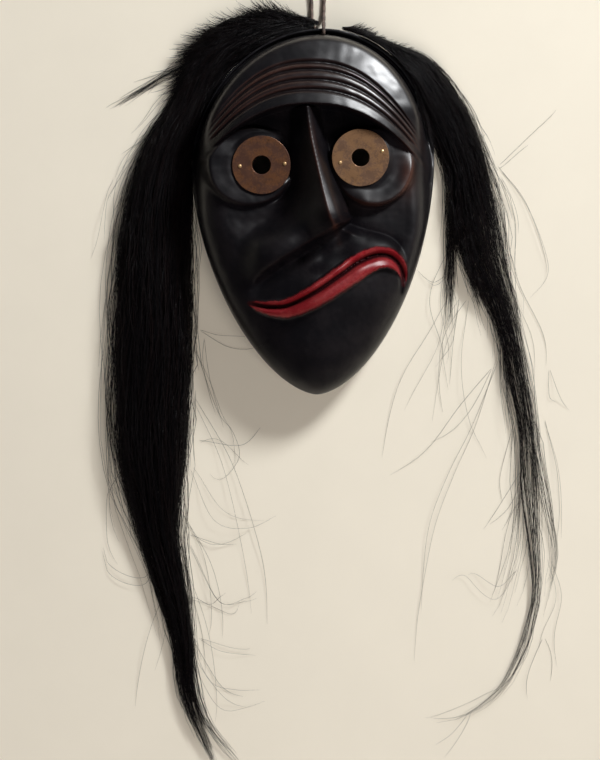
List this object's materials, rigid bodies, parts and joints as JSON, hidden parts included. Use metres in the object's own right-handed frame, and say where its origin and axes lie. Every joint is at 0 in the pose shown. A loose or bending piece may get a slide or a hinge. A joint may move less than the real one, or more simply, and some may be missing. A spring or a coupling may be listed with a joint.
{
  "type": "carved face mask",
  "caption": "Carved wooden face mask, hollow behind, with a bent nose, a twisted mouth, round metal eye plates, long horsehair and a hanging loop.",
  "frame": {"origin": "on the surface that the mask lies on, under the middle of the box round the mask and its hair", "axes": "+Z out of the face, away from the surface; +Y from the chin to the crown; +X to the right of the face as seen from the front"},
  "size_m": [0.3454, 0.6095, 0.0852],
  "materials": {
    "carved_mask": "satin black paint, red lips, bare wood inside",
    "eye_plate": "tarnished, faintly brushed",
    "tack": "worn bright",
    "hair": "glossy black horsehair",
    "cord": "twisted brown cord"
  },
  "bodies": {
    "root": {"carved_mask": "carved_mask", "eye_plate_left": "eye_plate", "eye_plate_right": "eye_plate", "eye_tack_left_1": "tack", "eye_tack_left_2": "tack", "eye_tack_right_1": "tack", "eye_tack_right_2": "tack", "hair_left": "hair", "hair_right": "hair", "hanging_cord": "cord"}
  },
  "joints": []
}
